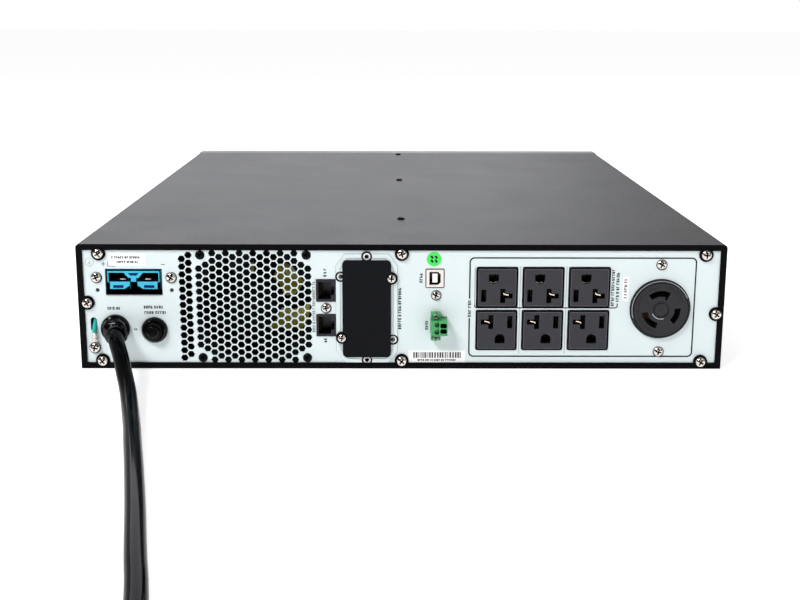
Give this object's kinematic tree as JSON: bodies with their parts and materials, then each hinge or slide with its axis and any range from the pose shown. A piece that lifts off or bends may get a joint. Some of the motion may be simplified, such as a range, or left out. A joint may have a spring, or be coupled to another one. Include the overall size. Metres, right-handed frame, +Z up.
{
  "type": "rackmount uninterruptible power supply",
  "caption": "Two-unit rackmount battery backup: steel case, white service panel with outlets, ports, fan and card slot, sliding battery drawer and an attached input cord.",
  "frame": {"origin": "centre of the case's underside, which rests on the shelf", "axes": "+Z up, -Y out of the rear service panel, +X to the right when facing that panel"},
  "size_m": [0.438, 1.1716, 0.0881],
  "materials": {
    "case_coating": "fine matt powder coat",
    "panel_coating": "satin powder coat",
    "zinc_steel": "zinc plated sheet",
    "bright_screws": "nickel plated",
    "black_screws": "black oxide",
    "fan_plastic": "satin moulded",
    "connector_blue": "satin moulded",
    "contact_metal": "bare brass",
    "breaker_plastic": "satin moulded",
    "ground_lead": "PVC insulation",
    "port_plastic": "satin moulded",
    "slot_plate": "satin black powder coat",
    "port_shell": "nickel plated",
    "terminal_green": "satin moulded",
    "outlet_plastic": "satin moulded",
    "cord_jacket": "smooth glossy jacket",
    "plug_plastic": "satin moulded",
    "bezel_plastic": "fine moulded texture",
    "window_clear": "smoked clear",
    "button_plastic": "satin moulded",
    "circuit_board": "solder mask",
    "battery_case": "moulded ABS",
    "battery_leads": "copper links and red connector",
    "heat_sink": "extruded",
    "core_steel": "varnished laminations",
    "winding_tape": "polyester tape",
    "capacitor_sleeve": "shrink sleeve"
  },
  "bodies": {
    "chassis": {"base_tray": "case_coating", "top_cover": "case_coating", "rear_panel": "panel_coating", "cover_rail": "zinc_steel", "bay_divider": "zinc_steel", "card_cage": "zinc_steel", "rear_screws": "bright_screws", "ground_screw": "bright_screws", "slot_nuts": "bright_screws", "cover_screws": "black_screws", "fan_screws": "black_screws", "fan_frame": "fan_plastic", "battery_connector": "connector_blue", "battery_contacts": "contact_metal", "jack_contacts": "contact_metal", "outlet_contacts": "contact_metal", "locking_contacts": "contact_metal", "plug_blades": "contact_metal", "breaker_body": "breaker_plastic", "breaker_nut": "breaker_plastic", "ground_wire": "ground_lead", "surge_jack_out": "port_plastic", "surge_jack_in": "port_plastic", "card_connector": "port_plastic", "usb_port": "port_shell", "epo_socket": "terminal_green", "outlet_1": "outlet_plastic", "outlet_2": "outlet_plastic", "outlet_3": "outlet_plastic", "outlet_4": "outlet_plastic", "outlet_5": "outlet_plastic", "outlet_6": "outlet_plastic", "locking_outlet": "outlet_plastic", "power_cord": "cord_jacket", "cord_coil": "cord_jacket", "cord_tail": "cord_jacket", "strain_relief": "cord_jacket", "plug_body": "plug_plastic", "front_bezel": "bezel_plastic", "display_window": "window_clear", "display_board": "circuit_board", "power_board": "circuit_board", "control_board": "circuit_board", "heat_sinks": "heat_sink", "transformer_core": "core_steel", "transformer_coil": "winding_tape", "capacitors": "capacitor_sleeve"},
    "fan_rotor": {"fan_rotor": "fan_plastic"},
    "breaker_button": {"breaker_button": "breaker_plastic"},
    "slot_cover": {"slot_cover": "slot_plate", "slot_screws": "bright_screws"},
    "epo_plug": {"epo_plug": "terminal_green"},
    "power_button": {"power_button": "button_plastic"},
    "enter_button": {"enter_button": "button_plastic"},
    "up_button": {"up_button": "button_plastic"},
    "down_button": {"down_button": "button_plastic"},
    "battery_drawer": {"drawer_front": "bezel_plastic", "drawer_tray": "zinc_steel", "batteries": "battery_case", "battery_links": "battery_leads"}
  },
  "joints": [
    {"name": "fan_spin", "type": "hinge", "parent": "chassis", "child": "fan_rotor", "pos_m": [-0.1003, -0.275, 0.0434], "axis": [0, 1, 0], "continuous": true},
    {"name": "breaker_trip", "type": "slide", "parent": "chassis", "child": "breaker_button", "axis": [0, -1, 0], "range_m": [0, 0.004]},
    {"name": "slot_cover_off", "type": "slide", "parent": "chassis", "child": "slot_cover", "axis": [0, -1, 0], "range_m": [0, 0.03]},
    {"name": "epo_plug_out", "type": "slide", "parent": "chassis", "child": "epo_plug", "axis": [0, -1, 0], "range_m": [0, 0.015]},
    {"name": "power_press", "type": "slide", "parent": "chassis", "child": "power_button", "axis": [0, -1, 0], "range_m": [0, 0.001], "stiffness_N_per_m": 300},
    {"name": "enter_press", "type": "slide", "parent": "chassis", "child": "enter_button", "axis": [0, -1, 0], "range_m": [0, 0.001], "stiffness_N_per_m": 300},
    {"name": "up_press", "type": "slide", "parent": "chassis", "child": "up_button", "axis": [0, -1, 0], "range_m": [0, 0.001], "stiffness_N_per_m": 300},
    {"name": "down_press", "type": "slide", "parent": "chassis", "child": "down_button", "axis": [0, -1, 0], "range_m": [0, 0.001], "stiffness_N_per_m": 300},
    {"name": "drawer_slide", "type": "slide", "parent": "chassis", "child": "battery_drawer", "axis": [0, 1, 0], "range_m": [0, 0.3]}
  ]
}
